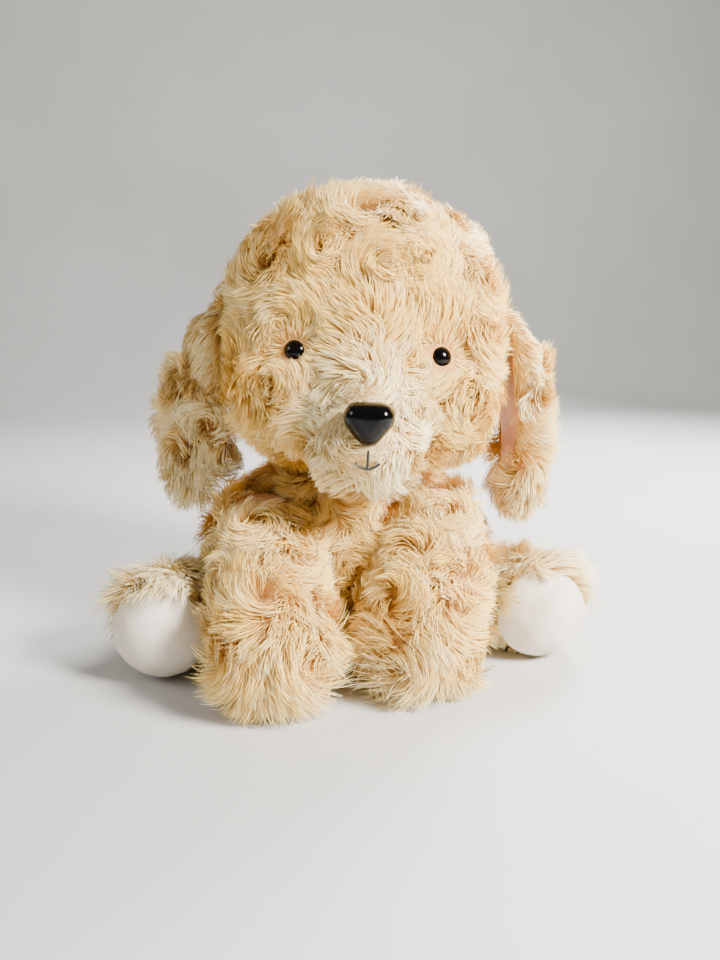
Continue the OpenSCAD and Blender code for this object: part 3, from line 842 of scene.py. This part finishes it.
def head_look(p, n, names):
    """Short and pale round the nose, golden on the brow, and combed down over the tops of the ears."""
    to_nose = distance(p, NOSE)
    eye_gap = np.minimum(distance(p, EYES[0]), distance(p, EYES[1]))
    mouth_gap = distance(p, MOUTH)
    front = smoothstep(-p[:, 1], -SKULL[1], -SKULL[1] + 45 * MM)
    muzzle, face, by_nose = near(to_nose, MUZZLE_BAND), near(to_nose, FACE_BAND), near(to_nose, NOSE_BAND)
    by_ear = near(np.minimum(distance(p, EAR_TOPS[0]), distance(p, EAR_TOPS[1])), EAR_BAND)
    chin = muzzle * smoothstep(MOUTH[2] - p[:, 2], 4 * MM, 16 * MM)
    # Paler towards the top of the head: a painted highlight of the light from above
    crown_highlight = smoothstep(p[:, 2], SKULL[2] + 20 * MM, SKULL[2] + 60 * MM)

    length = HEAD_PILE - 4.5 * MM * face - 1.5 * MM * muzzle + 6 * MM * by_ear
    length = length * (0.34 + 0.66 * smoothstep(eye_gap, *EYE_TRIM))
    length = length * (1 - 0.35 * by_nose)
    length = length * (0.75 + 0.25 * smoothstep(mouth_gap, *MOUTH_TRIM))
    length = length + 4 * MM * chin

    keep = (to_nose > NOSE_CLEAR) & (mouth_gap > MOUTH_CLEAR)
    for eye in EYES:
        keep &= distance(p[:, [0, 2]], eye[[0, 2]]) > EYE_CLEAR

    by_eye = near(eye_gap, EYE_BAND)[:, None]
    brow = near(distance(p, BROW), BROW_BAND)[:, None]
    below = smoothstep(NOSE[2] - p[:, 2], 0, 25 * MM)[:, None] * front[:, None]
    ear = by_ear[:, None]
    across = np.sign(p[:, :1] - FOREHEAD[0]) * np.array([1.0, 0, 0])
    from_nose = tangent(p - NOSE, n)
    from_eye = tangent(p - np.where((p[:, :1] < FOREHEAD[0]), EYES[0], EYES[1]), n)
    comb = tangent(from_nose + brow * (UP + 0.7 * across), n)
    comb = tangent(comb * (1 - by_eye) + from_eye * by_eye + 0.001 * UP, n)
    comb = tangent(comb * (1 - 0.6 * below) - UP * 0.6 * below, n)
    comb = tangent(comb * (1 - ear) + (0.9 * across - 1.1 * UP) * ear, n)
    combed = (0.10 + 0.20 * face + 0.34 * brow[:, 0] + 0.6 * by_ear) * (1 - by_nose) + 0.65 * by_eye[:, 0]
    return {
        "keep": keep,
        "length": length,
        "lift": 62 - 10 * face - 4 * muzzle - 16 * by_ear + 14 * by_nose - 14 * by_eye[:, 0],
        "pale": 0.12 + 0.68 * muzzle + 0.20 * crown_highlight - 0.12 * brow[:, 0] + 0.12 * by_ear,
        "comb": comb,
        "comb_share": np.clip(combed, 0, 0.9),
        "droop": 0.10 + 0.15 * (1 - front) + 0.25 * below[:, 0] + 0.35 * by_ear,
    }


def even_look(p, n, length, lift, pale, way, comb_share, droop):
    """The same pile all over, combed one way."""
    values = {"length": length, "lift": lift, "comb_share": comb_share, "droop": droop}
    look = {key: np.full(len(p), value) for key, value in values.items()}
    look |= {"keep": np.ones(len(p), bool), "pale": pale + np.zeros(len(p))}
    return look | {"comb": tangent(way + 0 * p, n)}


def body_look(p, n, names):
    """Even, and paler towards the seat."""
    low = near(p[:, 2], (10 * MM, 45 * MM))
    return even_look(p, n, 17 * MM, 62.0, 0.12 + 0.30 * low, -UP, 0.12, 0.15)


def neck_look(p, n, names):
    """A band that shows between the head and the body."""
    band = np.abs(p[:, 2] - middle("neck_filling")[2]) < 14 * MM
    return even_look(p, n, 13 * MM, 60.0, 0.12, -UP, 0.1, 0.1) | {"keep": band}


def tail_look(p, n, names):
    return even_look(p, n, 14 * MM, 52.0, 0.35, np.array([0, 0.8, 0.3]), 0.4, 0.1)


PAW_IN, PAW_UP = 28 * MM, 26 * MM  # a paw's middle, behind its front and above the floor
PAW_CREST = np.array([0, -14, 20]) * MM
PAW_BAND, RIM_BAND = (34 * MM, 50 * MM), (24 * MM, 42 * MM)


def front_leg_look(side):
    """Combed away from the crest of the paw, with a long pale fringe along the floor."""
    box = np.array([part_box(f"front_leg_{side}_{k}") for k in ("outer", "inner")])
    paw = np.array([box[:, :, 0].mean(), box[:, 0, 1].min() + PAW_IN, PAW_UP])
    crest = paw + PAW_CREST

    def look(p, n, names):
        on_paw = near(distance(p, paw), PAW_BAND)
        low = near(p[:, 2], (6 * MM, 30 * MM))
        rim = smoothstep(distance(p, crest), *RIM_BAND)
        return {
            "keep": np.ones(len(p), bool),
            "length": 17 * MM + 11 * MM * low * on_paw,
            "lift": 62 - 6 * on_paw - 18 * low * on_paw,
            "pale": 0.22 + 0.35 * on_paw * rim + 0.45 * low * on_paw,
            "comb": tangent(p - crest, n),
            "comb_share": np.clip(0.10 + 0.12 * on_paw + 0.4 * low * on_paw, 0, 0.85),
            "droop": 0.12 + 0.1 * low,
        }
    return look


FRINGE_BAND = (27 * MM, 42 * MM)


def hind_leg_look(side):
    """A pale fringe round the sole, which hangs over its top and stands out at its outer side."""
    sole = middle(f"sole_{side}")
    forward = unit(np.array([sole[0] * 0.2, -30 * MM, 0.0]))

    def look(p, n, names):
        fringe = near(distance(p, sole), FRINGE_BAND)
        up = smoothstep(p[:, 2], sole[2] - 8 * MM, sole[2] + 12 * MM)
        over = (fringe * up)[:, None]
        under = fringe * (1 - up)
        outside = smoothstep((p[:, 0] - sole[0]) * np.sign(sole[0]), 0, 20 * MM)[:, None]
        outward = tangent(p - sole, n)
        comb = outward * (1 - 0.8 * over + 0.7 * over * outside)
        comb = comb + (forward - 0.45 * UP * (1 - outside)) * over
        return {
            "keep": np.char.find(names, "sole") < 0,
            "length": 17 * MM + 5 * MM * over[:, 0] - 7 * MM * under,
            "lift": 62 - 12 * over[:, 0] - 22 * under,
            "pale": 0.40 + 0.55 * fringe,
            "comb": unit(comb),
            "comb_share": 0.12 + 0.4 * fringe,
            "droop": 0.08 + 0.22 * (over * (1 - outside))[:, 0],
            "tip_lift": 0.1 * over,
        }
    return look


EAR_ROOT_BAND = (0.06, 0.24)       # shares of the ear's length, from its top
BARE_LINING_FROM = 0.22
HEM_W = 5 * MM


def ear_look(side):
    """Short at the hinge and at the hem, which is combed away from the satin, and long at the tip."""
    lining = f"ear_{side}_lining"
    lo, hi = (np.array(x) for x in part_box(f"ear_{side}_fur"))
    centre = (lo + hi) / 2
    inward = unit(middle(lining) - middle(f"ear_{side}_fur"))

    def look(p, n, names):
        down = (hi[2] - p[:, 2]) / (hi[2] - lo[2])
        top = near(down, EAR_ROOT_BAND)
        hem = smoothstep(dot(p - centre, inward)[:, 0], 0, HEM_W) * (1 - top)
        tip = smoothstep(down, 0.72, 1.0)
        edge = smoothstep(np.abs(n[:, 1]), 0.55, 0.95)
        fan = 0.25 * (p - centre) / (hi - lo)[1] * np.array([0, 1, 0])
        return {
            "keep": (names != lining) | (down < BARE_LINING_FROM),
            "length": (15 * MM + 4 * MM * tip) * (1 - 0.40 * top) * (1 - 0.5 * hem),
            "lift": 64 - 6 * tip - 30 * top - 38 * hem,
            "pale": 0.42 + 0.38 * tip + 0.18 * edge,
            "comb": tangent(-UP + fan - 3.0 * hem[:, None] * inward, n),
            "comb_share": np.clip(0.12 + 0.25 * tip + 0.4 * top + 0.8 * hem, 0, 0.95),
            "droop": 0.10 + 0.1 * tip,
            "tip_lift": (0.15 * (1 - top) * (1 - hem))[:, None],
            "ring": 0.5,
        }
    return look


# Strands to a square millimetre of skin, and the whorls' spacing
grow("head", head_look, 1.75, 25 * MM)
grow("body", body_look, 1.2, 23 * MM)
for side in ("right", "left"):
    grow(f"front_leg_{side}", front_leg_look(side), 1.35, 22 * MM)
    grow(f"hind_leg_{side}", hind_leg_look(side), 1.6, 17 * MM)
    grow(f"ear_{side}", ear_look(side), 1.7, 20 * MM)
grow("tail", tail_look, 1.1, 18 * MM)
grow("neck", neck_look, 1.3, 14 * MM)


# ---- Soles: bulging velour pads ----

for side in ("right", "left"):
    n = f"sole_{side}"
    body = f"hind_leg_{side}"
    mesh = remeshed(f"{n}_pad", [n], 1.6 * MM, 6, 0.2 * MM)
    pad = add_object(f"{n}_pad", mesh, "velour", body)
    inflate(pad, 2.5 * MM)
    above_floor(pad.data)
    sub = pad.modifiers.new("smooth", "SUBSURF")
    sub.levels = sub.render_levels = 1
    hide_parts(n)


# ---- Ear linings ----

SATIN_TOP_NARROW = 0.4


def one_side_area(name, inward):
    """Area of the side of a thin CAD node that faces `inward`."""
    points, faces = node_mesh([name])
    a, b, c = (points[faces[:, k]] for k in range(3))
    cross = np.cross(b - a, c - a)
    area = np.linalg.norm(cross, axis=1) / 2
    return float(area[unit(cross) @ inward > 0.5].sum())


for side in ("right", "left"):
    n = f"ear_{side}_lining"
    mesh = remeshed(f"{n}_satin", [n], 1.2 * MM, 4, 0.0)
    co, _ = arrays(mesh)
    top = ear_top(co, side)
    centre_y = middle(f"ear_{side}_fur")[1]
    co[:, 1] = centre_y + (co[:, 1] - centre_y) * (1 - SATIN_TOP_NARROW * top)
    co[:, 2] -= (EAR_TOP_SINK + EAR_TOP_THIN) * top
    set_points(mesh, co)
    satin = add_object(f"{n}_satin", mesh, "satin", f"ear_{side}")
    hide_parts(n)
    inward = unit(middle(n) - middle(f"ear_{side}_fur"))
    one_side_area(n, inward)


# ---- Fillings: loose fibre ----

def wobble(points, scale, height, seed):
    """A smooth random swell, summed from a few waves."""
    rng = np.random.default_rng(seed)
    total = np.zeros(len(points))
    for _ in range(14):
        way = unit(rng.normal(0, 1, 3)) * rng.uniform(0.6, 1.8) / scale
        total += np.sin(points @ way * 2 * np.pi + rng.uniform(0, 2 * np.pi))
    return total / math.sqrt(7) * height


FIBRE_WAVE, FIBRE_SWELL, FIBRE_IN = 18 * MM, 0.8 * MM, 0.4 * MM

for k, n in enumerate(sorted(n for n in NODES if n.endswith("_filling"))):
    grown = -2.0 * MM if n == "neck_filling" else -1.0 * MM
    mesh = remeshed(f"{n}_fibre", [n], 4 * MM, 3, grown, cavities=n == "body_filling")
    co, _ = arrays(mesh)
    co += vertex_normals(mesh) * np.minimum(0, wobble(co, FIBRE_WAVE, FIBRE_SWELL, k) - FIBRE_IN)[:, None]
    set_points(mesh, co)
    made = add_object(f"{n}_fibre", mesh, "fibre", BODY_OF[n])
    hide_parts(n)


# ---- The pouch of beans: a sewn bag with a creased skin ----

POUCH_CLOTH = 0.8 * MM
POUCH_WAVE, POUCH_CREASE, POUCH_SEED = 14 * MM, 0.5 * MM, 71

form = remeshed("pouch_form", ["bean_pouch"], 1.8 * MM, 6, -0.3 * MM)
co, _ = arrays(form)
co += vertex_normals(form) * np.minimum(0, wobble(co, POUCH_WAVE, POUCH_CREASE, POUCH_SEED))[:, None]
faces = [list(f.vertices) for f in form.polygons]
skin = slab(co, vertex_normals(form), faces, POUCH_CLOTH)
pouch = add_object("bean_pouch_cloth", mesh_from("bean_pouch_cloth", *skin), "pouch", "body")
pouch.data.shade_smooth()
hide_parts("bean_pouch")


# ---- The care label: one tape folded in half, its ends in the back seam ----

LABEL_TAPE, LABEL_CURL = 0.35 * MM, 3 * MM
LABEL_ROWS, LABEL_STEPS = 10, 20
FOLD_FROM, FOLD_STEPS = 0.2, 7     # radians from the tape's straight, and points in the fold


def folded_label():
    """A tape with the length, width and thickness of the CAD label, curled at its fold."""
    co, _ = node_mesh(["care_label"])
    mid = (co.min(0) + co.max(0)) / 2
    flat = co[:, :2] - mid[:2]
    along = np.linalg.svd(flat, full_matrices=False)[2][0]
    along = along * np.sign(along @ mid[:2])           # away from the body
    across = np.array([-along[1], along[0]])
    half_len = np.ptp(flat @ along) / 2
    half_w = np.ptp(co[:, 2]) / 2
    gap = np.ptp(flat @ across) / 2 - LABEL_TAPE
    straight = [k / LABEL_STEPS * 2 * half_len - half_len for k in range(LABEL_STEPS)]
    turn = np.linspace(FOLD_FROM, math.pi - FOLD_FROM, FOLD_STEPS)
    path = [(r, gap) for r in straight]
    path += [(half_len - gap + gap * math.sin(t), gap * math.cos(t)) for t in turn]
    path += [(r, -gap) for r in reversed(straight)]
    path = np.array(path)
    points, normals = [], []
    for (r, t), (dr, dt) in zip(path, np.gradient(path, axis=0)):
        curl = LABEL_CURL * max(0.0, r / half_len) ** 2
        side = unit(np.array([-dt, dr]))
        for w in range(LABEL_ROWS + 1):
            z = half_w * (2 * w / LABEL_ROWS - 1)
            points.append([*(mid[:2] + along * r + across * (t + curl)), mid[2] + z])
            normals.append([*(along * side[0] + across * side[1]), 0.0])
    corners = [i * (LABEL_ROWS + 1) + w for i in range(len(path) - 1) for w in range(LABEL_ROWS)]
    faces = [[c, c + LABEL_ROWS + 1, c + LABEL_ROWS + 2, c + 1] for c in corners]
    mesh = mesh_from("care_label_tape", *slab(np.array(points), np.array(normals), faces, -LABEL_TAPE))
    made = add_object("care_label_tape", mesh, "tape", "body")
    made.data.shade_smooth()
    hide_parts("care_label")


folded_label()


# ---- The nose: one smooth moulded dome with its post ----

nose = add_object("nose_moulded", remeshed("nose_moulded", ["nose"], 0.6 * MM, 9, 0.35 * MM), "gloss", "head")
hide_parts("nose")


# ---- Hard parts that are carried over from the frame ----

for n, look in {
    "eye_right": "gloss", "eye_left": "gloss", "eye_washer_right": "clear", "eye_washer_left": "clear",
    "nose_washer": "clear", "beans": "clear", "mouth_stitch": "black_thread", "closing_seam": "seam_thread",
}.items():
    NODES[n].data.materials.clear()
    NODES[n].data.materials.append(MATERIALS[look])


# ---- Floor, light and camera ----

def area_light(name, location, target, size, watts, colour):
    data = bpy.data.lights.new(name, "AREA")
    data.shape = "DISK"
    data.size = size
    data.energy = watts
    data.color = colour
    made = bpy.data.objects.new(name, data)
    SCENE.collection.objects.link(made)
    made.location = location
    made.rotation_mode = "QUATERNION"
    made.rotation_quaternion = (Vector(target) - Vector(location)).to_track_quat("-Z", "Y")


def floor_piece():
    """A flat sheet of paper that curves up behind the dog."""
    half, back, radius, steps = 3.0, 0.9, 0.6, 24
    turn = [math.pi / 2 * k / steps for k in range(steps + 1)]
    profile = [(-half, 0.0)] + [(back + radius * math.sin(t), radius * (1 - math.cos(t))) for t in turn]
    profile.append((back + radius, 2 * half))
    points = [(x, y, z) for y, z in profile for x in (-half, half)]
    faces = [(2 * k, 2 * k + 1, 2 * k + 3, 2 * k + 2) for k in range(len(profile) - 1)]
    mesh = bpy.data.meshes.new("floor")
    mesh.from_pydata(points, [], faces)
    mesh.shade_smooth()
    made = bpy.data.objects.new("floor", mesh)
    SCENE.collection.objects.link(made)
    s = Shader("floor_paper")
    paper = s.ramp(s.noise(4), [(0.3, srgb(206, 205, 203)), (0.7, srgb(214, 213, 211))])
    s.set(Base_Color=paper, Roughness=0.9)
    mesh.materials.append(s.material)


floor_piece()
TARGET = (0.0, 0.0, 0.12)
area_light("key", (0.64, -0.56, 0.62), TARGET, 0.30, 43.0, (1.0, 0.96, 0.91))
area_light("rim", (0.50, 0.50, 0.62), TARGET, 0.30, 22.0, (1.0, 0.98, 0.95))
area_light("window", (-0.90, -0.10, 0.55), TARGET, 0.45, 3.0, (0.94, 0.97, 1.0))

world = bpy.data.worlds.new("studio")
SCENE.world = world
world.use_nodes = True
sky = world.node_tree.nodes["Background"].inputs
sky["Color"].default_value = (0.86, 0.86, 0.86, 1.0)
sky["Strength"].default_value = 0.25

CAMERA_AT = (-0.0408, -0.4018, 0.173)
CAMERA_TURN = 7.0                  # degrees to the viewer's right of +Y
CAMERA_DOWN = 12.6                 # degrees below the horizon
LENS = 28.0
camera = bpy.data.objects.new("camera", bpy.data.cameras.new("camera"))
SCENE.collection.objects.link(camera)
camera.data.lens = LENS
camera.data.clip_start = 0.01
camera.location = CAMERA_AT
camera.rotation_euler = (math.radians(90 - CAMERA_DOWN), 0.0, math.radians(-CAMERA_TURN))
SCENE.camera = camera
